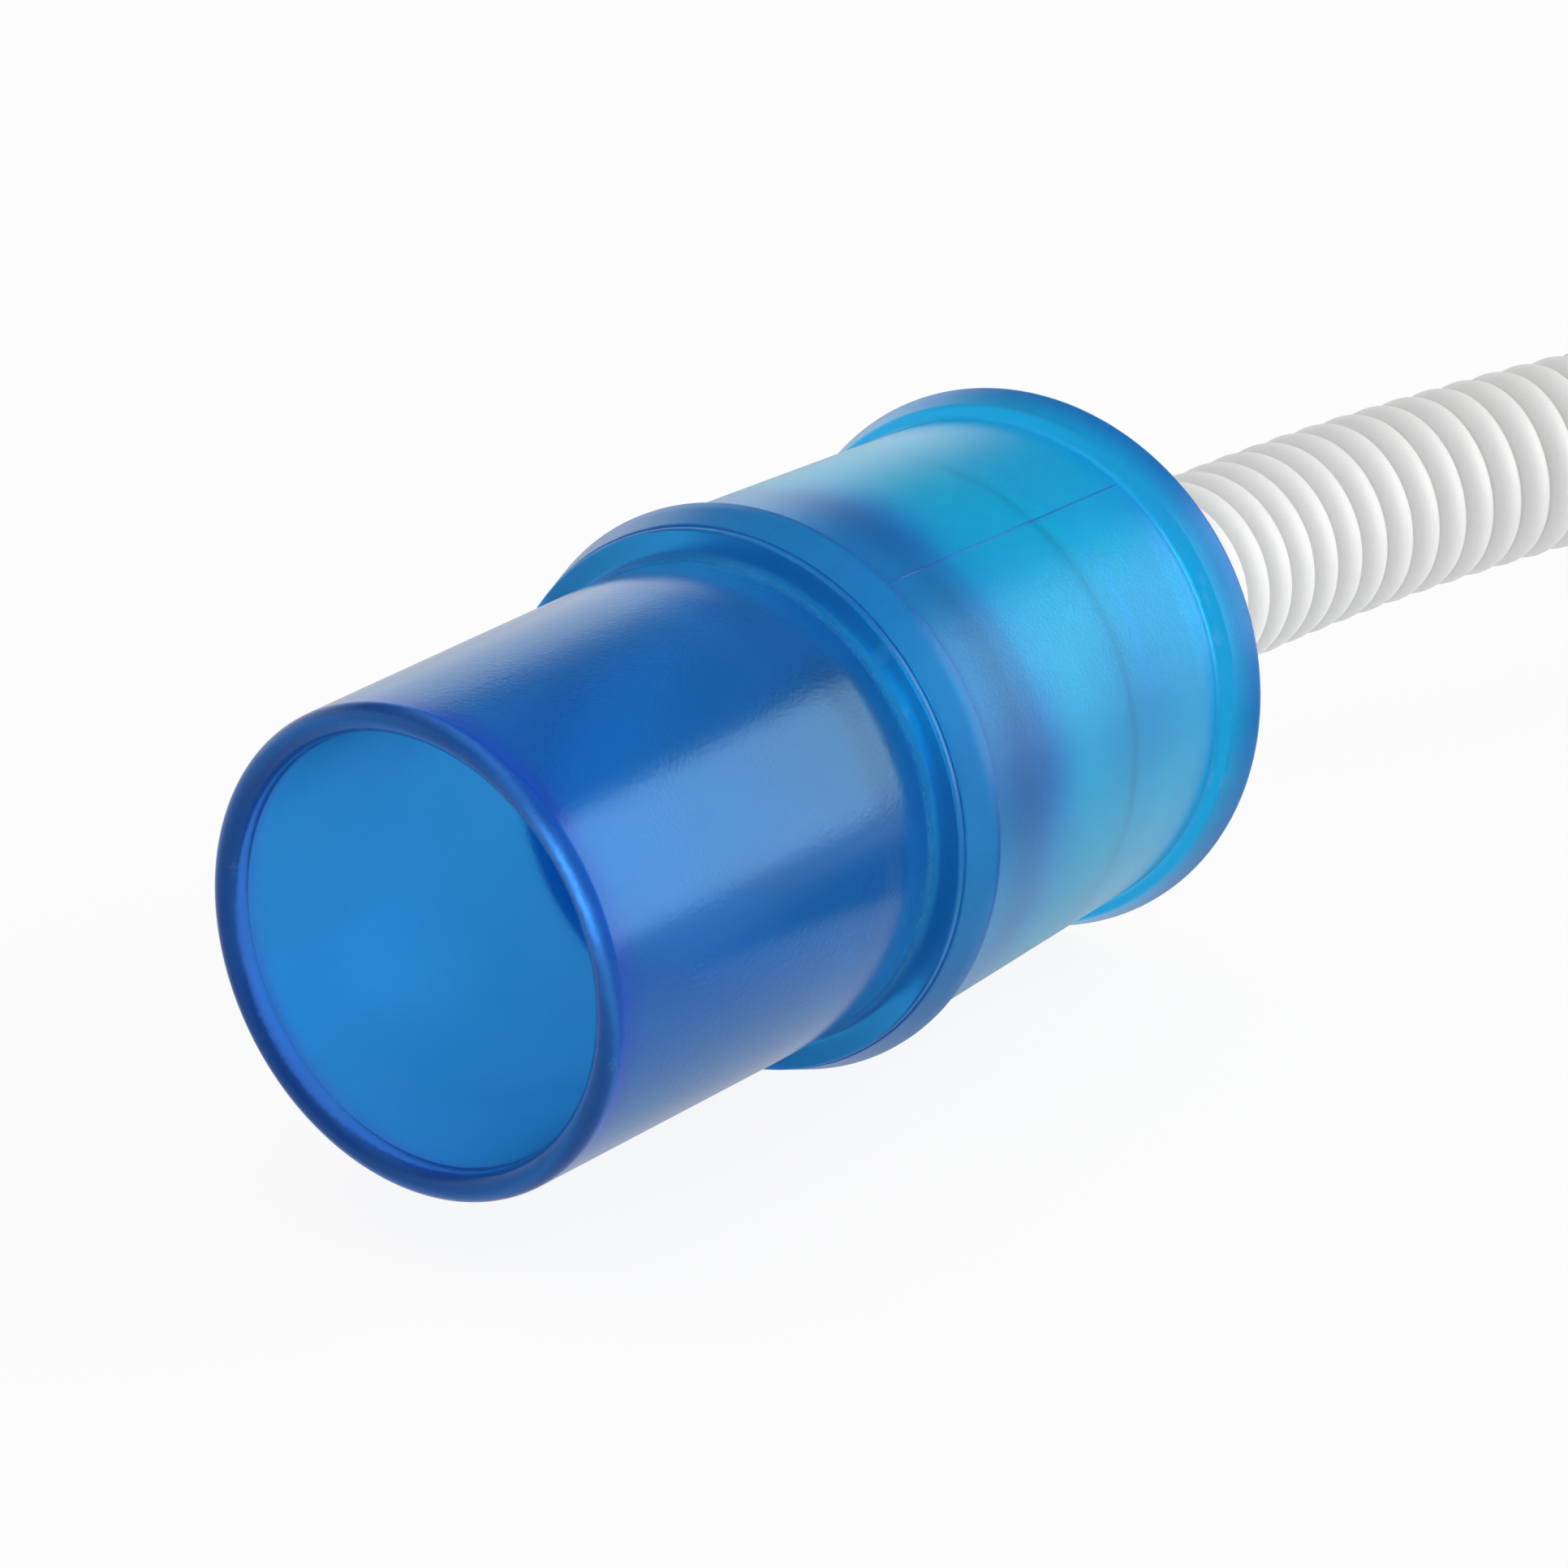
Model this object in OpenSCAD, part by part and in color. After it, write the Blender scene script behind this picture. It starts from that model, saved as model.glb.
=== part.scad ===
// Saliva ejector with a flexible ribbed hose, in millimetres.
// A clear blue adaptor plugs into the suction line, a white hose turns in its back,
// and a slotted mouth tip pulls off the hose's far end. Everything rests on z = 0.

/* [Adaptor spigot] */
// Outer radius at the spigot's mouth
spigot_tip_r = 7.7; // [7.4:0.05:7.9]
// Outer radius of the straight sealing land at the spigot's root
spigot_land_r = 8.2; // [8.0:0.05:8.6]
// Length of the spigot, mouth to depth stop
spigot_len = 15.9; // [10:0.1:24]
// Length of the straight sealing land
land_len = 3; // [2:0.5:5]
// Radius of the suction bore
bore_r = 6.8; // [5.5:0.05:7]

/* [Adaptor depth stop and barrel] */
// Outer radius of the depth stop at its back edge
stop_r = 9.75; // [9.7:0.05:12]
// How much smaller the depth stop is at the front of its tapered rim
stop_taper = 0.45; // [0.3:0.05:0.6]
// Length of the depth stop along the axis
stop_len = 1.7; // [1.5:0.1:3]
// Height of the raised ring on the stop's front face
stop_step = 0.25; // [0.1:0.05:0.5]
// Outer radius of the barrel
barrel_r = 9.4; // [9.2:0.05:9.6]
// Length of the barrel between its two flanges
barrel_len = 15.6; // [14:0.1:24]
// Outer radius of the rear grip flange
flange_r = 10.25; // [10:0.05:13]
// Thickness of the rear grip flange
flange_len = 1.6; // [1.4:0.1:3]
// How much smaller the grip flange is at the front of its tapered rim
flange_taper = 0.35; // [0.2:0.05:0.5]
// Rounding of the grip flange's outer edges
edge_r = 0.3; // [0.15:0.05:0.4]

/* [Hose cuff] */
// Radius of the socket in the barrel that the cuff turns in
socket_r = 8.3; // [7.8:0.05:8.4]
// Depth of the socket from the adaptor's rear face
socket_len = 12.7; // [9:0.1:13.5]
// Radial running clearance of the cuff in its socket
swivel_gap = 0.05; // [0.02:0.01:0.1]
// Height of the snap bead that holds the cuff in
bead_h = 0.25; // [0.15:0.05:0.3]
// Width of the snap bead
bead_w = 1.2; // [0.8:0.1:2]
// How far the cuff's end sits inside the adaptor's rear face
cuff_recess = 0.5; // [0.2:0.1:1]
// Outer radius of the cuff's neck
neck_r = 5.4; // [5.1:0.1:7]
// Length of the cuff's neck behind its end face
neck_len = 5; // [3:0.5:10]

/* [Hose] */
// Outer radius over the hose's ribs
hose_r = 4; // [3.8:0.05:4.3]
// Inner radius of the hose and of the cuffs' passages
lumen_r = 3; // [2:0.1:3.1]
// How deep the hose sits in the neck of the hose cuff
hose_seat = 4; // [2:0.5:5]
// Radial clearance of the hose in both cuffs
hose_gap = 0.1; // [0.05:0.01:0.2]

/* [Mouth tip] */
// Wall of the tip cuff around the hose
tip_wall = 0.6; // [0.5:0.05:0.7]
// How far the tip cuff reaches back over the hose
tip_seat = 6; // [4:0.5:8]
// Length of the neck that the tip cap pushes onto
plug_len = 6; // [4:0.5:8]
// Outer radius of the tip cap
cap_r = 5; // [4.9:0.05:5]
// Wall of the tip cap
cap_wall = 1.1; // [0.9:0.05:1.2]
// Length of the tip cap without its dome
cap_len = 9; // [8.5:0.5:14]
// Radial clearance of the tip cap on its neck
cap_gap = 0.03; // [0.01:0.01:0.06]
// Width of the suction slots
slot_w = 1.4; // [0.8:0.1:1.8]

/* [Hidden] */
$fn = 96;
fillet_r = 0.35;
stop_land = 0.2;
face_gap = 0.1;
shoulder_len = 2;
slot_pairs = 3;
bridge = 0.01;

// Places along the adaptor's axis, measured from the spigot's mouth.
stop_z = spigot_len;
barrel_z = stop_z + stop_len;
flange_z = barrel_z + barrel_len;
rear_z = flange_z + flange_len;
socket_z = rear_z - socket_len;
cuff_z = socket_z + face_gap;
cuff_end_z = rear_z - cuff_recess;
neck_z = cuff_end_z + neck_len;
bead_z = rear_z - socket_len / 2;
seat_z = neck_z - hose_seat;

// The adaptor and the cuff stand centred over the origin, on the rear flange's rim.
front_x = -neck_z / 2;
axis_h = flange_r;

// The hose's route from its seat in the cuff: aside and up, then down to the table.
route = [
  [0, 0, 0], [5, 0, 0], [11, -0.5, 0.2], [17, -1.8, 0.7], [23, -4, 1.4],
  [29, -7, 2.2], [35, -10.6, 3], [41, -14.5, 3.4], [49, -19, 3.4], [58, -23.4, 2.2],
  [67, -27, 0], [76, -29.8, -2.6], [85, -31.7, -5], [93, -32.7, -6], [100, -33, -5.8],
  [108, -33, -5.25], [118, -33, -5.25]
];
hose_sides = 12;
hose_start = [front_x + seat_z, 0, axis_h];
tip_place = hose_start + route[len(route) - 1];

// Sizes of the mouth tip that follow from the hose and the cap.
tip_cuff_r = hose_r + hose_gap + tip_wall;
plug_r = cap_r - cap_wall - cap_gap;
cap_z = shoulder_len + face_gap;
dome_z = cap_z + cap_len;

// Direction of the route at one of its points.
function aim(i) =
  let (a = route[max(i - 1, 0)], b = route[min(i + 1, len(route) - 1)])
  (b - a) / norm(b - a);

// One ring of the hose: level across, square to the route.
function ring(i) =
  let (d = aim(i), side = [-d.y, d.x, 0] / norm([d.x, d.y]), up = cross(d, side))
  [for (k = [0:hose_sides - 1])
    route[i] + hose_r * (cos(360 * k / hose_sides) * side + sin(360 * k / hose_sides) * up)];

// Puts a piece made along +Z onto the adaptor's axis.
module on_adaptor() {
  translate([front_x, 0, axis_h]) rotate([0, 90, 0]) children();
}

// Puts a piece made along +Z onto the hose's far end.
module on_tip() {
  translate(tip_place) rotate([0, 90, 0]) children();
}

// A disc of radius r from z to z + h, with both outer edges rounded to e.
module round_disc(r, z, h, e) {
  translate([0, 0, z]) cylinder(r = r - e, h = h);
  translate([0, 0, z + e]) cylinder(r = r, h = h - 2 * e);
  for (edge_z = [z + e, z + h - e])
    translate([0, 0, edge_z]) rotate_extrude() translate([r - e, 0]) circle(r = e);
}

// A concave corner ring where a wall of radius r runs into a face at z from below.
module corner(r, z) {
  rotate_extrude() translate([r - bridge, z]) mirror([0, 1])
    difference() {
      translate([0, -bridge]) square(fillet_r + bridge);
      translate([fillet_r + bridge, fillet_r]) circle(r = fillet_r);
    }
}

// The round lip of the spigot's mouth.
module spigot_lip() {
  lip_r = (spigot_tip_r - bore_r) / 2;
  translate([0, 0, lip_r]) rotate_extrude() translate([bore_r + lip_r, 0]) circle(r = lip_r);
}

// The tapered spigot with its straight land.
module spigot() {
  lip_r = (spigot_tip_r - bore_r) / 2;
  translate([0, 0, lip_r])
    cylinder(r1 = spigot_tip_r, r2 = spigot_land_r, h = spigot_len - land_len - lip_r);
  translate([0, 0, spigot_len - land_len]) cylinder(r = spigot_land_r, h = land_len + bridge);
}

// The depth stop: a raised ring on its front face and a tapered rim with a crisp back edge.
module depth_stop() {
  rim_z = stop_z + stop_step;
  ring_r = stop_r - stop_taper - 0.05;
  translate([0, 0, stop_z]) cylinder(r1 = ring_r - 0.1, r2 = ring_r, h = 0.1);
  translate([0, 0, stop_z + 0.1]) cylinder(r = ring_r, h = stop_step);
  translate([0, 0, rim_z])
    cylinder(r1 = stop_r - stop_taper, r2 = stop_r, h = stop_len - stop_step - stop_land);
  translate([0, 0, barrel_z - stop_land]) cylinder(r = stop_r, h = stop_land);
  corner(spigot_land_r, stop_z);
}

// The rear grip flange: a tapered rim, rounded in front and behind.
module grip_flange() {
  front_r = flange_r - flange_taper;
  translate([0, 0, flange_z]) cylinder(r = front_r - edge_r, h = flange_len);
  translate([0, 0, flange_z + edge_r])
    rotate_extrude() translate([front_r - edge_r, 0]) circle(r = edge_r);
  translate([0, 0, flange_z + edge_r])
    cylinder(r1 = front_r, r2 = flange_r, h = flange_len - 2 * edge_r);
  translate([0, 0, rear_z - edge_r])
    rotate_extrude() translate([flange_r - edge_r, 0]) circle(r = edge_r);
  translate([0, 0, rear_z - edge_r]) cylinder(r = flange_r - edge_r, h = edge_r);
  corner(barrel_r, flange_z);
}

module adaptor_body() color("dodgerblue") on_adaptor()
  difference() {
    union() {
      spigot();
      depth_stop();
      translate([0, 0, barrel_z - stop_land]) cylinder(r = barrel_r, h = barrel_len + 2 * stop_land);
      grip_flange();
      spigot_lip();
    }
    translate([0, 0, (spigot_tip_r - bore_r) / 2]) cylinder(r = bore_r, h = rear_z);
    translate([0, 0, socket_z]) cylinder(r = socket_r, h = rear_z);
    translate([0, 0, bead_z - bead_w / 2 - face_gap])
      cylinder(r = socket_r + bead_h, h = bead_w + 2 * face_gap);
  }

module hose_cuff() color("white") on_adaptor()
  difference() {
    union() {
      round_disc(socket_r - swivel_gap, cuff_z, cuff_end_z - cuff_z, 0.3);
      round_disc(socket_r - swivel_gap + bead_h, bead_z - bead_w / 2, bead_w, 0.3);
      round_disc(neck_r, cuff_end_z - 1, neck_len + 1, 0.4);
    }
    translate([0, 0, cuff_z - 1]) cylinder(r = lumen_r, h = neck_z);
    translate([0, 0, seat_z]) cylinder(r = hose_r + hose_gap, h = neck_z);
  }

module corrugated_hose() color("whitesmoke") {
  last = len(route) - 1;
  rings = [for (i = [0:last]) each ring(i)];
  walls = [for (i = [0:last - 1], k = [0:hose_sides - 1])
    let (m = (k + 1) % hose_sides)
    [i * hose_sides + k, i * hose_sides + m, (i + 1) * hose_sides + m, (i + 1) * hose_sides + k]];
  ends = [
    [for (k = [0:hose_sides - 1]) hose_sides - 1 - k],
    [for (k = [0:hose_sides - 1]) last * hose_sides + k]
  ];
  translate(hose_start) polyhedron(points = rings, faces = concat(walls, ends), convexity = 6);
}

module tip_cuff() color("white") on_tip()
  difference() {
    union() {
      round_disc(tip_cuff_r, -tip_seat, tip_seat + shoulder_len, 0.3);
      round_disc(plug_r, 0, shoulder_len + plug_len, 0.3);
    }
    translate([0, 0, -1]) cylinder(r = lumen_r, h = shoulder_len + plug_len + 2);
    translate([0, 0, -tip_seat - 1]) cylinder(r = hose_r + hose_gap, h = tip_seat + 1);
  }

module tip_cap() color("deepskyblue") on_tip()
  difference() {
    union() {
      round_disc(cap_r, cap_z, cap_len, 0.4);
      translate([0, 0, cap_z + 1]) cylinder(r = cap_r, h = cap_len - 1);
      translate([0, 0, dome_z]) sphere(r = cap_r);
    }
    translate([0, 0, cap_z - 1]) cylinder(r = cap_r - cap_wall, h = cap_len + 1);
    translate([0, 0, dome_z]) sphere(r = cap_r - cap_wall);
    for (k = [0:slot_pairs - 1])
      rotate([0, 0, 180 * k / slot_pairs]) translate([-cap_r - 1, -slot_w / 2, dome_z - 1.5])
        cube([2 * cap_r + 2, slot_w, 4.5]);
  }

adaptor_body();
hose_cuff();
corrugated_hose();
tip_cuff();
tip_cap();
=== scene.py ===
# %% [markdown]
# # Saliva ejector: clear blue adaptor, ribbed white hose, slotted mouth tip
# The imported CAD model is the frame. It holds every size, fit and joint. This script gives each
# piece its finished surface, and replaces the plain rod of the hose by real ribs and the plain
# turned adaptor by one with its moulding marks.

# %% Load the frame
import math

import bmesh
import bpy
from mathutils import Matrix, Vector, noise


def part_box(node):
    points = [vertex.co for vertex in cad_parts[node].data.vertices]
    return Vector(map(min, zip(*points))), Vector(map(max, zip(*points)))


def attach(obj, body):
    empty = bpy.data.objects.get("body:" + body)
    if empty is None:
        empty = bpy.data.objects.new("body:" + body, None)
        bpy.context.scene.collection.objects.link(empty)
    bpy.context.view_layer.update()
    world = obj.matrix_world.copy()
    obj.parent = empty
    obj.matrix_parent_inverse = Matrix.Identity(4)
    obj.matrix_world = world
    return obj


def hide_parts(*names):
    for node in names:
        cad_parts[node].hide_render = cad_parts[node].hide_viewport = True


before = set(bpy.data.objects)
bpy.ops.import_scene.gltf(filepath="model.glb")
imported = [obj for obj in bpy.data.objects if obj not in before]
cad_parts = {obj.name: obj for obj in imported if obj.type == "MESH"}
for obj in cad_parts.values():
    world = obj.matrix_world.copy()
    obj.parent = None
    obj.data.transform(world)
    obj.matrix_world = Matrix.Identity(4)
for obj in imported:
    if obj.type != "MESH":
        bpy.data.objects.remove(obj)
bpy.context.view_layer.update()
MM = 0.001

# %% [markdown]
# ## Places
# A turned piece needs two things: its axis, and where along the axis it starts. The adaptor's box
# gives both. Its lowest x is the spigot's mouth, and the axis is half its height up.

# %% Places taken from the frame
adaptor_low, adaptor_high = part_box("adaptor_body")
hose_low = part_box("corrugated_hose")[0]
MOUTH_X = adaptor_low[0]
AXIS_Z = (adaptor_low[2] + adaptor_high[2]) / 2
print("mouth at x", round(MOUTH_X, 5), "axis height", round(AXIS_Z, 5))

# %% [markdown]
# ## Camera
# A close view from the front left, a little above the table, with a moderate telephoto lens. The
# lens keeps the spigot's mouth and the rear flange close to their true proportions.

# %% Camera
CAMERA_PLACE = Vector((-89.17, -60.81, 48.65)) * MM
CAMERA_HEADING = math.radians(34.29)
CAMERA_DROP = math.radians(19.77)
LENS_MM = 78.26
SENSOR_MM = 36
NEAREST = 5 * MM

camera_data = bpy.data.cameras.new("view")
camera = bpy.data.objects.new("view", camera_data)
camera_data.lens = LENS_MM
camera_data.sensor_width = SENSOR_MM
camera_data.clip_start = NEAREST
camera.location = CAMERA_PLACE
camera.rotation_euler = (math.pi / 2 - CAMERA_DROP, 0, CAMERA_HEADING - math.pi / 2)
bpy.context.collection.objects.link(camera)
bpy.context.scene.camera = camera
print("camera", [round(v, 4) for v in camera.location])

# %% [markdown]
# ## Hose route
# The hose leaves the cuff straight, then bends aside and a little upwards, because it still has
# the set of the coil it was packed in. Past the top of that arc it sinks and lies on the table. The
# route is a short list of points, joined by a smooth Catmull-Rom curve, so the ribs can follow it
# without kinks.

# %% Hose route
HOSE_R = 4.0 * MM
ROUTE_STEPS = 60
ROUTE_MM = [
    (0, 0, 0), (5, 0, 0), (11, -0.5, 0.2), (17, -1.8, 0.7), (23, -4, 1.4),
    (29, -7, 2.2), (35, -10.6, 3), (41, -14.5, 3.4), (49, -19, 3.4), (58, -23.4, 2.2),
    (67, -27, 0), (76, -29.8, -2.6), (85, -31.7, -5), (93, -32.7, -6), (100, -33, -5.8),
    (108, -33, -5.25), (118, -33, -5.25),
]
hose_start = Vector((hose_low[0], 0, AXIS_Z))
route = [hose_start + Vector(p) * MM for p in ROUTE_MM]


def catmull(points, steps):
    """Points on the smooth curve through the given ones."""
    out = []
    for i in range(len(points) - 1):
        p1, p2 = points[i], points[i + 1]
        p0 = points[i - 1] if i else p1 * 2 - p2
        p3 = points[i + 2] if i + 2 < len(points) else p2 * 2 - p1
        for k in range(steps):
            t = k / steps
            out.append(0.5 * (2 * p1 + (p2 - p0) * t + (2 * p0 - 5 * p1 + 4 * p2 - p3) * t * t
                              + (3 * p1 - p0 - 3 * p2 + p3) * t ** 3))
    return out + [points[-1].copy()]


def lengths(points):
    """The distance along the points, at each of them."""
    out = [0.0]
    for a, b in zip(points, points[1:]):
        out.append(out[-1] + (b - a).length)
    return out


centre = catmull(route, ROUTE_STEPS)
along = lengths(centre)
hose_length = along[-1]
print("hose length mm", round(hose_length / MM, 1))

# %% [markdown]
# ## Mesh helpers
# Both shapes here are rings of points joined to their neighbours. A ring list that is closed both
# ways makes a turned ring, and one with two end caps makes a tube. Smooth shading with an angle
# limit keeps the rounds soft and the true edges crisp.

# %% Mesh helpers
def finish_mesh(name, mesh, sharp=35):
    """Turns a bmesh into an object, smooth except where it turns by more than sharp degrees."""
    bmesh.ops.recalc_face_normals(mesh, faces=mesh.faces)
    data = bpy.data.meshes.new(name)
    mesh.to_mesh(data)
    mesh.free()
    for polygon in data.polygons:
        polygon.use_smooth = True
    data.set_sharp_from_angle(angle=math.radians(sharp))
    piece = bpy.data.objects.new(name, data)
    bpy.context.collection.objects.link(piece)
    return piece


def at(s):
    """Place and direction on the hose's centre line at distance s."""
    s = min(max(s, 0.0), hose_length)
    i = max(next((k for k, v in enumerate(along) if v >= s), len(along) - 1), 1)
    t = (s - along[i - 1]) / max(along[i] - along[i - 1], 1e-12)
    # The direction spans five steps of the route, so it turns evenly from ring to ring.
    a, b = centre[max(i - 3, 0)], centre[min(i + 2, len(centre) - 1)]
    return centre[i - 1].lerp(centre[i], t), (b - a).normalized()


def sweep(name, stations, sides):
    """A closed tube through (distance, radius) stations along the hose's centre line."""
    mesh = bmesh.new()
    rings = []
    for s, radius in stations:
        place, ahead = at(s)
        side = Vector((-ahead.y, ahead.x, 0)).normalized()
        up = ahead.cross(side)
        rings.append([mesh.verts.new(place + radius * (math.cos(a) * side + math.sin(a) * up))
                      for a in (2 * math.pi * k / sides for k in range(sides))])
    for low, high in zip(rings, rings[1:]):
        for k in range(sides):
            m = (k + 1) % sides
            mesh.faces.new((low[k], low[m], high[m], high[k]))
    mesh.faces.new(list(reversed(rings[0])))
    mesh.faces.new(rings[-1])
    return finish_mesh(name, mesh, sharp=60)


# %% [markdown]
# ## Ribbed hose
# Corrugated hose is blow-moulded: round ribs, close together, with narrow grooves between them. A
# rib is half an ellipse, so the outline is a row of bumps with sharp valleys. Each rib is drawn as
# a few rings swept along the route. That gives true geometry at the outline, where a bump map
# would show a straight edge. The rings crowd towards the valley, where the outline turns fastest.

# %% Ribbed hose mesh
RIB_PITCH = 1.55 * MM
RIB_DEPTH = 0.50 * MM
RIB_RINGS = 12
HOSE_SIDES = 96
VALLEY_SHARE = 0.985


def rib_station(rib, k):
    """Distance and radius of ring k of a rib; equal angles round the rib's own arc."""
    turn = math.pi * k / RIB_RINGS
    s = (rib + 0.5 - 0.5 * math.cos(turn)) * RIB_PITCH
    crest = math.sqrt(max(0.0, 1 - (VALLEY_SHARE * math.cos(turn)) ** 2))
    return s, HOSE_R - RIB_DEPTH * (1 - crest)


ribs = int(hose_length / RIB_PITCH)
stations = [rib_station(rib, k) for rib in range(ribs) for k in range(RIB_RINGS)]
stations.append((hose_length, HOSE_R - RIB_DEPTH))
hose = sweep("ribbed_hose", stations, HOSE_SIDES)
print("hose ribs", ribs, "faces", len(hose.data.polygons))

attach(hose, "hose")
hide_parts("corrugated_hose")

# %% [markdown]
# ## Adaptor shell
# The adaptor is a body of revolution, so one outline turned about its axis makes the whole piece.
# The outline runs once round the wall, outside and inside, and every arc gets enough points to
# stay round in a close view. The sizes repeat the CAD model's, because the shell has to fill the
# same space and turn on the same cuff.

# %% Outline of the adaptor, in millimetres along the axis and out from it
def arc(z, r, radius, start, end, count=8):
    """Points on an arc round (z, r); 0 degrees points along the axis, 90 outwards."""
    return [(z + radius * math.cos(math.radians(a)), r + radius * math.sin(math.radians(a)))
            for a in (start + (end - start) * k / count for k in range(count + 1))]


SPIGOT_TIP_R, SPIGOT_LAND_R, BORE_R = 7.7, 8.2, 6.8
SPIGOT_LEN, LAND_LEN = 15.9, 3.0
STOP_R, STOP_TAPER, STOP_LEN, STOP_STEP, STOP_LAND = 9.75, 0.45, 1.7, 0.25, 0.2
BARREL_R, BARREL_LEN = 9.4, 15.6
FLANGE_R, FLANGE_TAPER, FLANGE_LEN, EDGE_R = 10.25, 0.35, 1.6, 0.3
SOCKET_R, SOCKET_LEN = 8.3, 12.7
GROOVE_R, GROOVE_W = 8.55, 1.4
FILLET_R = 0.35
LIP_R = (SPIGOT_TIP_R - BORE_R) / 2
# Radii that only soften an edge or a corner.
RING_EDGE, STEP_FILLET, RIM_EDGE, STOP_FILLET, SOCKET_EDGE = 0.1, 0.05, 0.15, 0.12, 0.15
RING_STEP, RIM_DROP, LAND_BREAK, STOP_BREAK = 0.05, 0.1, 0.06, 0.05
# The core pin's fine line inside the lip: distance behind the lip, height.
WITNESS_LINE = ((0.35, 0), (0.27, 0.04), (0.19, 0))
BARREL_Z = SPIGOT_LEN + STOP_LEN
FLANGE_Z = BARREL_Z + BARREL_LEN
REAR_Z = FLANGE_Z + FLANGE_LEN
RIM_Z = SPIGOT_LEN + STOP_STEP
SOCKET_Z = REAR_Z - SOCKET_LEN
GROOVE_Z = REAR_Z - SOCKET_LEN / 2
RING_R = STOP_R - STOP_TAPER - RING_STEP
FLANGE_FRONT_R = FLANGE_R - FLANGE_TAPER

outline = arc(LIP_R, BORE_R + LIP_R, LIP_R, 270, 90, 20)
outline += [(SPIGOT_LEN - LAND_LEN, SPIGOT_LAND_R)]
outline += arc(SPIGOT_LEN - FILLET_R, SPIGOT_LAND_R + FILLET_R, FILLET_R, 270, 360, 8)
outline += arc(SPIGOT_LEN + RING_EDGE, RING_R - RING_EDGE, RING_EDGE, 180, 90, 4)
outline += arc(RIM_Z - STEP_FILLET, RING_R + STEP_FILLET, STEP_FILLET, 270, 360, 4)
outline += arc(RIM_Z + RIM_EDGE, STOP_R - STOP_TAPER - RIM_DROP, RIM_EDGE, 170, 104, 5)
outline += [(BARREL_Z - STOP_LAND, STOP_R), (BARREL_Z - LAND_BREAK, STOP_R)]
outline += [(BARREL_Z, STOP_R - STOP_BREAK)]
outline += arc(BARREL_Z + STOP_FILLET, BARREL_R + STOP_FILLET, STOP_FILLET, 180, 270, 5)
outline += arc(FLANGE_Z - FILLET_R, BARREL_R + FILLET_R, FILLET_R, 270, 340, 8)
outline += arc(FLANGE_Z + EDGE_R, FLANGE_FRONT_R - EDGE_R, EDGE_R, 165, 104, 6)
outline += arc(REAR_Z - EDGE_R, FLANGE_R - EDGE_R, EDGE_R, 104, 0, 10)
outline += arc(REAR_Z - SOCKET_EDGE, SOCKET_R + SOCKET_EDGE, SOCKET_EDGE, 0, -90, 4)
for end, radii in ((1, (SOCKET_R, GROOVE_R)), (-1, (GROOVE_R, SOCKET_R))):
    outline += [(GROOVE_Z + end * GROOVE_W / 2, r) for r in radii]
outline += [(SOCKET_Z, SOCKET_R), (SOCKET_Z, BORE_R)]
outline += [(LIP_R + behind, BORE_R - raised) for behind, raised in WITNESS_LINE]
print("outline points", len(outline), "overall length", round(REAR_Z, 2))

# %% [markdown]
# ## Moulding marks
# A mould with two side slides leaves a fine raised line along the barrel where they met, on both
# sides, and small nicks on the sharp edge next to it. They are real height, some hundredths of a
# millimetre, so they catch the light from every side. Extra rings of points stand close together
# beside each line, because a thin ridge needs narrow faces. Angles here are in degrees.

# %% Turn the outline
SHELL_SIDES = 288
PARTING_ANGLES = (33, 213)
RIDGE_STEPS = (-0.5, -0.28, -0.14, 0, 0.14, 0.28, 0.5)
RIDGE_HEIGHT = 0.02
RIDGE_HALF = 0.2
RIDGE_CLEAR = 0.7
RIDGE_START, RIDGE_STOP = 0.3, 0.4
NICK_HEIGHT = 0.05
NICK_SPREAD = 16
NICK_REACH, NICK_BAND = 0.21, 0.06
# Nicks are smallest away from the parting lines, and never quite gone.
NICK_LEAST = 0.15
# How fast the raggedness of ridge and nicks runs, per millimetre or degree, and its noise layer.
RIDGE_RUN, RIDGE_TURN, RIDGE_LAYER = 1.3, 0.02, 4.0
NICK_TURN, NICK_LAYER = 1.1, 9.0
SAME_R = 0.001
LONGEST_RUN = 0.6


def apart(a, b):
    """The angle between two directions round the axis, in degrees."""
    return abs((a - b + 180) % 360 - 180)


def shell_angles():
    """Even steps round the axis, with narrow ones beside each parting line."""
    even = [360 * k / SHELL_SIDES for k in range(SHELL_SIDES)]
    kept = [a for a in even if all(apart(a, p) > RIDGE_CLEAR for p in PARTING_ANGLES)]
    return sorted(kept + [(p + step) % 360 for p in PARTING_ANGLES for step in RIDGE_STEPS])


def marked(z, r, angle):
    """Radius with the parting ridge added and the nicks taken off."""
    off = min(apart(angle, p) for p in PARTING_ANGLES)
    ragged = 0.5 + 0.5 * noise.noise(Vector((z * RIDGE_RUN, angle * RIDGE_TURN, RIDGE_LAYER)))
    if abs(r - BARREL_R) < SAME_R and BARREL_Z + RIDGE_START < z < FLANGE_Z - RIDGE_STOP:
        return r + RIDGE_HEIGHT * ragged * max(0.0, 1 - off / RIDGE_HALF)
    if abs(z - BARREL_Z) < NICK_REACH and r > STOP_R - NICK_BAND:
        near = math.exp(-(off / NICK_SPREAD) ** 2)
        bite = min(0.0, noise.noise(Vector((angle * NICK_TURN, z, NICK_LAYER))))
        return r + NICK_HEIGHT * (NICK_LEAST + near) * bite
    return r


def subdivided(points, longest):
    """The closed outline with its long straight runs cut into shorter ones."""
    out = []
    for (z0, r0), (z1, r1) in zip(points, points[1:] + points[:1]):
        cuts = max(1, math.ceil(math.hypot(z1 - z0, r1 - r0) / longest))
        out += [(z0 + (z1 - z0) * k / cuts, r0 + (r1 - r0) * k / cuts) for k in range(cuts)]
    return out


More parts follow.
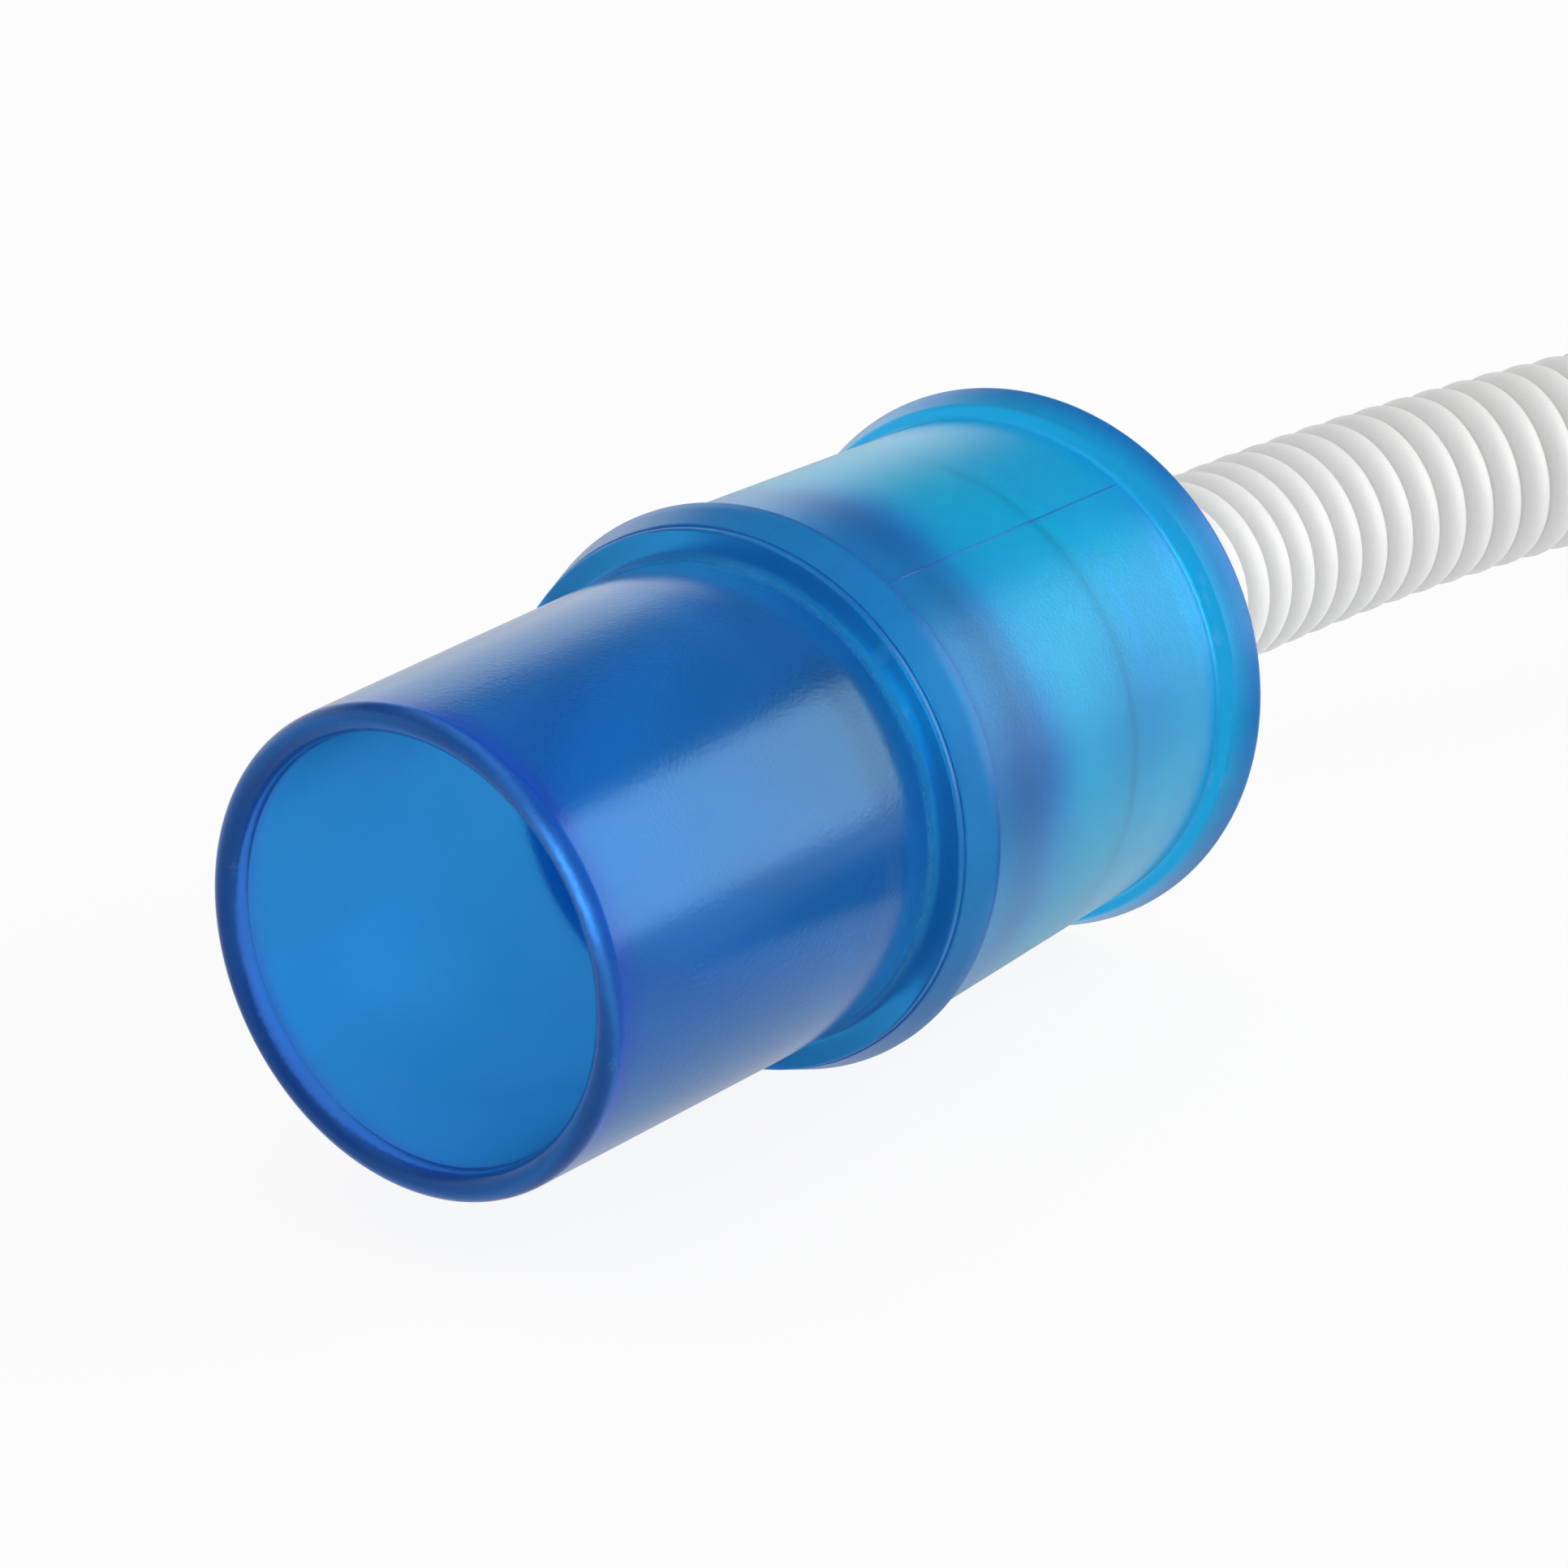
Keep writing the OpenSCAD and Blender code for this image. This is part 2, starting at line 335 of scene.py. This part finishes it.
def turned(name, points, angles, place):
    """A closed outline turned about a line along +X through place."""
    mesh = bmesh.new()
    rings = []
    for angle in angles:
        out_y, out_z = -math.sin(math.radians(angle)), math.cos(math.radians(angle))
        ring = [(z, marked(z, r, angle)) for z, r in points]
        rings.append([mesh.verts.new((place.x + z * MM, place.y + r * MM * out_y,
                                      place.z + r * MM * out_z)) for z, r in ring])
    for here, there in zip(rings, rings[1:] + rings[:1]):
        for j in range(len(points)):
            m = (j + 1) % len(points)
            mesh.faces.new((here[j], here[m], there[m], there[j]))
    return finish_mesh(name, mesh)


shell_outline = subdivided(outline, LONGEST_RUN)
shell = turned("adaptor_shell", shell_outline, shell_angles(), Vector((MOUTH_X, 0, AXIS_Z)))
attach(shell, "adaptor")
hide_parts("adaptor_body")
print("shell faces", len(shell.data.polygons))

# %% [markdown]
# ## Node helpers
# Materials here are chains of small sums, and short helpers keep them readable. One places a node
# and fills its inputs, and a sum, a smooth step and a mix of two colours are built on it. A value
# that is a socket is linked, and any other value is written on the input.

# %% Node helpers
def add(tree, kind, values=None, **settings):
    """Places a node, with its settings and its input values or links."""
    made = tree.nodes.new(kind)
    for key, value in settings.items():
        setattr(made, key, value)
    for key, value in (values or {}).items():
        if isinstance(value, bpy.types.NodeSocket):
            tree.links.new(value, made.inputs[key])
        else:
            made.inputs[key].default_value = value
    return made


def calc(tree, operation, *values):
    """The output of one sum."""
    return add(tree, "ShaderNodeMath", dict(enumerate(values)), operation=operation).outputs[0]


def ease(tree, value, low, high, to_low=0.0, to_high=1.0):
    """A smooth step of value, from to_low at low to to_high at high."""
    made = add(tree, "ShaderNodeMapRange", {"Value": value}, interpolation_type="SMOOTHSTEP")
    for name, number in zip(("From Min", "From Max", "To Min", "To Max"),
                            (low, high, to_low, to_high)):
        made.inputs[name].default_value = number
    return made.outputs["Result"]


def mix_colour(tree, share, first, second):
    """A colour between first and second."""
    made = add(tree, "ShaderNodeMix", {0: share, 6: first, 7: second}, data_type="RGBA")
    return made.outputs[2]


def new_group(name, inputs, outputs):
    """An empty node group with named number or vector inputs and number outputs."""
    tree = bpy.data.node_groups.new(name, "ShaderNodeTree")
    for label, kind, value in inputs:
        socket = tree.interface.new_socket(label, in_out="INPUT", socket_type=kind)
        if value is not None:
            socket.default_value = value
    for label in outputs:
        tree.interface.new_socket(label, in_out="OUTPUT", socket_type="NodeSocketFloat")
    return tree, tree.nodes.new("NodeGroupInput").outputs, tree.nodes.new("NodeGroupOutput").inputs


def new_material(name):
    """A material and its Principled shader."""
    material = bpy.data.materials.new(name)
    material.use_nodes = True
    return material, material.node_tree, material.node_tree.nodes["Principled BSDF"]


def dress(node, material):
    """Gives a CAD node one material."""
    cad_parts[node].data.materials.clear()
    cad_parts[node].data.materials.append(material)


# %% [markdown]
# ## Shared effects
# Moulded plastic is never quite even. Its skin copies the fine spark-eroded grain of the steel, its
# colour drifts softly over some millimetres, and handling leaves short, faint scuffs. One group
# makes all three as numbers, and each material takes as much of each as its plastic shows. A second
# group finds the edges that rub, from how sharply the surface turns, and read backwards it finds
# the grooves, which the white plastics darken as painted shade.

# %% Moulded skin group
DRIFT_PER_MM, DRIFT_RANGE = 0.22, (0.3, 0.7)
SCUFF_PER_MM, SCUFF_RANGE = 1.6, (0.62, 0.80)
SCUFF_TURN, SCUFF_STRETCH = (0.3, 0.5, 0.9), (0.35, 2.6, 2.6)

skin_group, given, gives = new_group(
    "moulded_skin",
    [("Vector", "NodeSocketVector", None), ("Grain per mm", "NodeSocketFloat", 6.0)],
    ["Height", "Drift", "Scuff"])
millimetres = add(skin_group, "ShaderNodeVectorMath", {0: given["Vector"], 3: 1 / MM},
                  operation="SCALE").outputs[0]
grain = add(skin_group, "ShaderNodeTexNoise",
            {"Vector": millimetres, "Scale": given["Grain per mm"], "Detail": 3.0})
drift = add(skin_group, "ShaderNodeTexNoise",
            {"Vector": millimetres, "Scale": DRIFT_PER_MM, "Detail": 1.0})
stretched = add(skin_group, "ShaderNodeMapping", {"Vector": millimetres})
stretched.inputs["Rotation"].default_value = SCUFF_TURN
stretched.inputs["Scale"].default_value = SCUFF_STRETCH
streaks = add(skin_group, "ShaderNodeTexNoise",
              {"Vector": stretched.outputs[0], "Scale": SCUFF_PER_MM, "Detail": 2.0})
links = skin_group.links
links.new(grain.outputs["Fac"], gives["Height"])
links.new(ease(skin_group, drift.outputs["Fac"], *DRIFT_RANGE), gives["Drift"])
links.new(ease(skin_group, streaks.outputs["Fac"], *SCUFF_RANGE), gives["Scuff"])

# %% Edge wear and groove shade group
wear_and_shade_group, given, gives = new_group(
    "edge_wear_and_groove_shade",
    [("Starts", "NodeSocketFloat", 0.52), ("Full", "NodeSocketFloat", 0.6)], ["Mask"])
pointed = add(wear_and_shade_group, "ShaderNodeNewGeometry").outputs["Pointiness"]
above = calc(wear_and_shade_group, "SUBTRACT", pointed, given["Starts"])
span = calc(wear_and_shade_group, "SUBTRACT", given["Full"], given["Starts"])
share = add(wear_and_shade_group, "ShaderNodeMath", {0: above, 1: span}, operation="DIVIDE", use_clamp=True)
wear_and_shade_group.links.new(share.outputs[0], gives["Mask"])
print("groups", [group.name for group in bpy.data.node_groups])


# %% Placing the shared effects
def skin(tree, grain_per_mm):
    """The moulded skin over a piece, in its own coordinates."""
    place = add(tree, "ShaderNodeTexCoord").outputs["Object"]
    return add(tree, "ShaderNodeGroup", {"Vector": place, "Grain per mm": grain_per_mm},
               node_tree=skin_group).outputs


def wear_and_shade_mask(tree, starts, full):
    """The mask of a piece's rubbed edges, or with its limits reversed, of the grooves that get
    painted shade.
    """
    return add(tree, "ShaderNodeGroup", {"Starts": starts, "Full": full},
               node_tree=wear_and_shade_group).outputs["Mask"]


# %% [markdown]
# ## Clear blue plastic
# Tinted polypropylene is not glass. Light passes through it blurred, and a little of it is
# scattered back, so one wall looks light blue and two walls look deep blue. A rough transmission
# with some plain colour left in it gives just that, with the tint as base colour. The highlights
# on it are cool, so the specular tint is blue.

# %% Blue plastic shader
PLASTIC_IOR, CLEARNESS = 1.49, 0.88
SHEEN_BLUE = (0.18, 0.66, 1.0, 1)
DRIFT_BLUE, DRIFT_SHARE = (0.10, 0.42, 0.95, 1), 0.10
EDGE_BLUE, EDGE_SHARE = (0.25, 0.55, 0.95, 1), 0.35
SCUFF_ROUGHER, EDGE_ROUGHER = 0.04, 0.12
GRAIN_DEPTH, GRAIN_STRENGTH = 0.04 * MM, 0.18


def blue_plastic(name):
    """A material for the tinted plastic, without its colour field."""
    material, tree, shader = new_material(name)
    shader.inputs["IOR"].default_value = PLASTIC_IOR
    shader.inputs["Transmission Weight"].default_value = CLEARNESS
    shader.inputs["Specular Tint"].default_value = SHEEN_BLUE
    return material, tree, shader


def finish_blue(tree, shader, colour, marks, edges, roughness):
    """Adds drift, scuffs and rubbed edges to a colour field, and the grain as bump."""
    drifted = mix_colour(tree, calc(tree, "MULTIPLY", marks["Drift"], DRIFT_SHARE), colour,
                         DRIFT_BLUE)
    paled = mix_colour(tree, calc(tree, "MULTIPLY", edges, EDGE_SHARE), drifted, EDGE_BLUE)
    tree.links.new(paled, shader.inputs["Base Color"])
    scuffed = calc(tree, "MULTIPLY_ADD", marks["Scuff"], SCUFF_ROUGHER, roughness)
    worn = calc(tree, "MULTIPLY_ADD", edges, EDGE_ROUGHER, scuffed)
    tree.links.new(worn, shader.inputs["Roughness"])
    bump = add(tree, "ShaderNodeBump", {"Height": marks["Height"],
                                        "Distance": GRAIN_DEPTH, "Strength": GRAIN_STRENGTH})
    tree.links.new(bump.outputs[0], shader.inputs["Normal"])


# %% [markdown]
# ## Colour field of the adaptor
# The adaptor's colour follows what lies behind and inside its wall. The spigot is a thin open tube.
# The lip and the flanges are thick, so they go deep and a little violet. Over the rear of the
# barrel the white cuff backs the wall, and the light it sends back through the plastic is painted
# in as bright cyan, with a soft, wavy front border. The darker spots on the barrel are painted shade.
# The field is worked out from the distance along the axis and out from it, so it stays with the
# piece as it swivels. The spigot is smoother than the rest, because it has to seal.

# %% Colour field of the adaptor
SPIGOT_BLUE = (0.030, 0.330, 0.780, 1)
LIP_BLUE = (0.060, 0.200, 0.780, 1)
STOP_BLUE = (0.045, 0.350, 0.840, 1)
BARREL_BLUE = (0.030, 0.500, 0.900, 1)
CUFF_LIGHT_CYAN = (0.000, 0.700, 0.980, 1)
FLANGE_BLUE = (0.010, 0.470, 0.900, 1)
PAINTED_SHADE_BLUE = (0.010, 0.240, 0.700, 1)
# Where the lip's colour ends, and how long the other changes along the axis take.
LIP_FADE, STOP_FADE, BARREL_FADE, FLANGE_FADE = (0.5, 1.6), 0.6, 1.0, 0.7
# The cyan starts and is full this far ahead of the socket, less the reach of its wavy border.
CUFF_STARTS, CUFF_FULL, WAVE_REACH, WAVES_PER_M = 4.0, 0.5, 5.0, 130.0
# The parting line's painted shade: solid half-width, end of its soft side, share of the dark colour,
# depth it reaches.
LINE_HALF, LINE_FADE, LINE_SHADE_SHARE, LINE_SKIN = 0.02, 0.07, 0.8, 0.1
# The even share of a shade spot's radius, and the lip's share in the colour of the flange's rim.
SHADE_SPOT_CORE, RIM_SHARE = 0.1, 0.7
SPIGOT_ROUGH, BARREL_ROUGH, ROUGH_FADE = 0.20, 0.30, 0.4
# Painted shade spots on the barrel: distance along the axis, angle, radius and depth of each spot.
SHADE_SPOTS = [(19.4, 14, 4.4, 0.9), (20.4, 78, 4.2, 0.9), (28.4, 78, 4.4, 0.35)]

blue, tree, shader = blue_plastic("clear_blue_adaptor")
place = add(tree, "ShaderNodeTexCoord").outputs["Object"]
split = add(tree, "ShaderNodeSeparateXYZ", {0: place}).outputs
depth = calc(tree, "MULTIPLY_ADD", split["X"], 1 / MM, -MOUTH_X / MM)
height = calc(tree, "MULTIPLY_ADD", split["Z"], 1 / MM, -AXIS_Z / MM)
across = calc(tree, "MULTIPLY", split["Y"], 1 / MM)
reach = calc(tree, "SQRT", calc(tree, "MULTIPLY_ADD", height, height,
                                calc(tree, "MULTIPLY", across, across)))
waves = add(tree, "ShaderNodeTexNoise", {"Vector": place, "Scale": WAVES_PER_M, "Detail": 1.0})
border = calc(tree, "MULTIPLY_ADD", waves.outputs["Fac"], -WAVE_REACH, depth)

field = mix_colour(tree, ease(tree, depth, *LIP_FADE), LIP_BLUE, SPIGOT_BLUE)
field = mix_colour(tree, ease(tree, depth, SPIGOT_LEN - STOP_FADE, SPIGOT_LEN), field, STOP_BLUE)
field = mix_colour(tree, ease(tree, depth, BARREL_Z, BARREL_Z + BARREL_FADE), field, BARREL_BLUE)
# The wall's own blue, lifted to cyan by painted light from the white cuff behind it.
cuff_light = ease(tree, border, SOCKET_Z - CUFF_STARTS, SOCKET_Z - CUFF_FULL)
field = mix_colour(tree, cuff_light, field, CUFF_LIGHT_CYAN)
# Painted shade: each spot darkens the barrel's colour towards a deep blue.
for spot_z, spot_angle, spot_size, spot_depth in SHADE_SPOTS:
    turn = math.radians(spot_angle)
    spot = Vector((MOUTH_X + spot_z * MM, -BARREL_R * MM * math.sin(turn),
                   AXIS_Z + BARREL_R * MM * math.cos(turn)))
    away = add(tree, "ShaderNodeVectorMath", {0: place, 1: spot}, operation="DISTANCE")
    near = ease(tree, away.outputs["Value"], SHADE_SPOT_CORE * spot_size * MM, spot_size * MM,
                spot_depth, 0.0)
    field = mix_colour(tree, near, field, PAINTED_SHADE_BLUE)
# The parting ridge's shade is painted along it as a thin dark line, beside the ridge's real height.
for angle in PARTING_ANGLES:
    turn = math.radians(angle)
    sideways = calc(tree, "MULTIPLY_ADD", across, -math.cos(turn),
                    calc(tree, "MULTIPLY", height, -math.sin(turn)))
    outward = calc(tree, "MULTIPLY_ADD", across, -math.sin(turn),
                   calc(tree, "MULTIPLY", height, math.cos(turn)))
    thin = ease(tree, calc(tree, "ABSOLUTE", sideways), LINE_HALF, LINE_FADE, LINE_SHADE_SHARE, 0.0)
    line_shade = calc(tree, "MULTIPLY", thin, calc(tree, "GREATER_THAN", outward, BARREL_R - LINE_SKIN))
    ahead = calc(tree, "GREATER_THAN", depth, BARREL_Z + RIDGE_START)
    field = mix_colour(tree, calc(tree, "MULTIPLY", line_shade, ahead), field, LIP_BLUE)
field = mix_colour(tree, ease(tree, depth, FLANGE_Z - FLANGE_FADE, FLANGE_Z), field, FLANGE_BLUE)
proud = calc(tree, "MULTIPLY", ease(tree, reach, FLANGE_FRONT_R, FLANGE_R), RIM_SHARE)
field = mix_colour(tree, proud, field, LIP_BLUE)
roughness = ease(tree, depth, SPIGOT_LEN - ROUGH_FADE, SPIGOT_LEN, SPIGOT_ROUGH, BARREL_ROUGH)
finish_blue(tree, shader, field, marks=skin(tree, grain_per_mm=7.0),
            edges=wear_and_shade_mask(tree, starts=0.53, full=0.64), roughness=roughness)
shell.data.materials.append(blue)
print("colour field nodes", len(tree.nodes))

# %% [markdown]
# ## Mouth tip
# The cap is the same plastic, thinner, and plain along its length. It keeps its CAD shape, so it
# only needs the plastic with its drift, grain and rubbed slot edges.

# %% Tip cap plastic
CAP_BLUE = (0.025, 0.400, 0.840, 1)
CAP_ROUGH = 0.22

cap_blue, tree, shader = blue_plastic("clear_blue_cap")
marks = skin(tree, grain_per_mm=8.0)
plain = mix_colour(tree, marks["Drift"], CAP_BLUE, SPIGOT_BLUE)
finish_blue(tree, shader, plain, marks, wear_and_shade_mask(tree, starts=0.53, full=0.62), CAP_ROUGH)
dress("tip_cap", cap_blue)
print("cap", cap_blue.name)

# %% [markdown]
# ## White plastics
# The cuffs are soft vinyl and the hose is blown polyethylene. Both are a slightly grey white and
# let a little light in, so the shading stays gentle in the grooves. The grooves also get painted
# shade: the edge group read backwards finds what turns inwards, and that goes a touch darker.

# %% White plastics
WHITE_IOR, LIGHT_IN, LIGHT_DEPTH = 1.5, 0.8, 1.6 * MM
DULL_SHARE, GROOVE_SHADE_SHARE, SCUFF_SHINE, BUMP_STRENGTH = 0.35, 0.3, 0.12, 0.5


def white_plastic(name, colour, drift_and_shade, grain_per_mm, depth_mm, roughness):
    """A soft white plastic with drift in its colour and painted shade in its grooves."""
    material, tree, shader = new_material(name)
    shader.inputs["IOR"].default_value = WHITE_IOR
    shader.inputs["Subsurface Weight"].default_value = LIGHT_IN
    shader.inputs["Subsurface Scale"].default_value = LIGHT_DEPTH
    shader.inputs["Subsurface Radius"].default_value = (1, 1, 1)
    marks = skin(tree, grain_per_mm)
    groove_shade = wear_and_shade_mask(tree, starts=0.50, full=0.42)
    drifted = mix_colour(tree, calc(tree, "MULTIPLY", marks["Drift"], DULL_SHARE), colour, drift_and_shade)
    # Painted shade: the grooves go towards the duller colour.
    tree.links.new(mix_colour(tree, calc(tree, "MULTIPLY", groove_shade, GROOVE_SHADE_SHARE), drifted, drift_and_shade),
                   shader.inputs["Base Color"])
    tree.links.new(calc(tree, "MULTIPLY_ADD", marks["Scuff"], -SCUFF_SHINE, roughness),
                   shader.inputs["Roughness"])
    bump = add(tree, "ShaderNodeBump", {"Height": marks["Height"], "Distance": depth_mm * MM,
                                        "Strength": BUMP_STRENGTH})
    tree.links.new(bump.outputs[0], shader.inputs["Normal"])
    return material


hose.data.materials.append(
    white_plastic("white_hose_plastic", colour=(0.80, 0.80, 0.79, 1), drift_and_shade=(0.77, 0.77, 0.76, 1),
                  grain_per_mm=5.0, depth_mm=0.03, roughness=0.52))
cuff_vinyl = white_plastic("white_cuff_vinyl", colour=(0.82, 0.83, 0.82, 1),
                           drift_and_shade=(0.73, 0.74, 0.735, 1), grain_per_mm=9.0, depth_mm=0.02,
                           roughness=0.55)
dress("hose_cuff", cuff_vinyl)
dress("tip_cuff", cuff_vinyl)
print("white materials", cuff_vinyl.name, hose.data.materials[0].name)

# %% [markdown]
# ## Floor
# The table is a plain white sheet. It glows white to whatever looks at it straight, and less in a
# reflection. It still takes the object's soft shadow, because the rest of it is an ordinary lit
# surface, and that lit surface alone is what shows through the clear plastic.

# %% Floor
FLOOR_SIDE = 6
SEEN_GLOW = 0.9
MIRRORED_GLOW = 0.55


def flat_piece(name, size, place=(0, 0, 0), turn=0.0):
    """A level rectangle for the stage."""
    mesh = bmesh.new()
    bmesh.ops.create_grid(mesh, x_segments=1, y_segments=1, size=1)
    bmesh.ops.scale(mesh, vec=(size[0] / 2, size[1] / 2, 1), verts=mesh.verts)
    piece = finish_mesh(name, mesh)
    piece.location = place
    piece.rotation_euler = (0, 0, turn)
    return piece


floor = flat_piece("floor", (FLOOR_SIDE, FLOOR_SIDE))
paper, tree, shader = new_material("paper")
shader.inputs["Base Color"].default_value = (0.9, 0.9, 0.9, 1)
shader.inputs["Roughness"].default_value = 0.9
shader.inputs["Specular IOR Level"].default_value = 0.0
glow = add(tree, "ShaderNodeEmission")
path = add(tree, "ShaderNodeLightPath").outputs
seen = calc(tree, "MULTIPLY", path["Is Camera Ray"], SEEN_GLOW)
share = calc(tree, "MULTIPLY_ADD", path["Is Glossy Ray"], MIRRORED_GLOW, seen)
mixed = add(tree, "ShaderNodeMixShader", {0: share, 1: shader.outputs[0], 2: glow.outputs[0]})
tree.links.new(mixed.outputs[0], tree.nodes["Material Output"].inputs["Surface"])
floor.data.materials.append(paper)

# %% [markdown]
# ## Light
# One large softbox stands low at the right of the object and draws the long band along the spigot
# and the barrel. A second one overhead lifts the whites. A black card lies on the table
# between the object and the softbox. Only reflections see it, and it gives the clear plastic the
# dark line below the band, which is what makes it read as plastic and not as paint.

# %% Lamps
def softbox(name, toward, upward, distance, size, power):
    """An area lamp that faces the object from a direction, with its long side along upward."""
    data = bpy.data.lights.new(name, "AREA")
    data.shape = "RECTANGLE"
    data.size, data.size_y = size
    data.energy = power
    lamp = bpy.data.objects.new(name, data)
    toward = Vector(toward).normalized()
    lamp.location = Vector((0, 0, AXIS_Z)) + toward * distance
    side = Vector(upward).cross(toward).normalized()
    lamp.rotation_euler = Matrix((side, toward.cross(side), toward)).transposed().to_euler()
    bpy.context.collection.objects.link(lamp)


softbox("side_softbox", toward=(0.62, -0.71, 0.34), upward=(0.03, 0.46, 0.89), distance=0.6,
        size=(0.38, 0.48), power=2.6)
softbox("top_softbox", toward=(-0.3, 0.2, 1.0), upward=(0, 1, 0), distance=0.8, size=(0.8, 0.8),
        power=1.4)

card = flat_piece("dark_card", size=(0.038, 0.011), place=(0.0225, -0.032, 0.0004),
                  turn=math.radians(-35.6))
card.visible_camera = card.visible_diffuse = card.visible_transmission = False
card.visible_shadow = False
velvet, tree, shader = new_material("black_velvet")
shader.inputs["Base Color"].default_value = (0.01, 0.01, 0.01, 1)
shader.inputs["Roughness"].default_value = 1.0
shader.inputs["Specular IOR Level"].default_value = 0.0
card.data.materials.append(velvet)

# %% [markdown]
# ## Room
# The room is grey as a light, white to whatever looks at it straight or through clear plastic, and
# darker in reflections except towards the far wall. The far wall's white runs along the top of the
# round pieces as their rim light.

# %% Room
ROOM_GREY, NEAR_DARK, FAR_WHITE, SEEN_WHITE = 0.50, 0.12, 1.25, 0.985
WALL_SIDE, WALL_TOP = (0.28, 0.58), (0.38, 0.62)
world = bpy.data.worlds.new("studio")
bpy.context.scene.world = world
world.use_nodes = True
tree = world.node_tree
path = add(tree, "ShaderNodeLightPath").outputs
toward = add(tree, "ShaderNodeSeparateXYZ", {0: add(tree, "ShaderNodeTexCoord").outputs["Generated"]})
wall = calc(tree, "MULTIPLY", ease(tree, toward.outputs["Y"], *WALL_SIDE),
            ease(tree, toward.outputs["Z"], *WALL_TOP, 1.0, 0.0))
mirrored = calc(tree, "MULTIPLY_ADD", wall, FAR_WHITE - NEAR_DARK, NEAR_DARK)
plain = calc(tree, "MAXIMUM", path["Is Camera Ray"], path["Is Transmission Ray"])
level = add(tree, "ShaderNodeMix", {0: path["Is Glossy Ray"], 2: ROOM_GREY, 3: mirrored}).outputs[0]
level = add(tree, "ShaderNodeMix", {0: plain, 2: level, 3: SEEN_WHITE}).outputs[0]
tree.links.new(level, tree.nodes["Background"].inputs["Color"])
bpy.context.scene.view_settings.view_transform = "Standard"
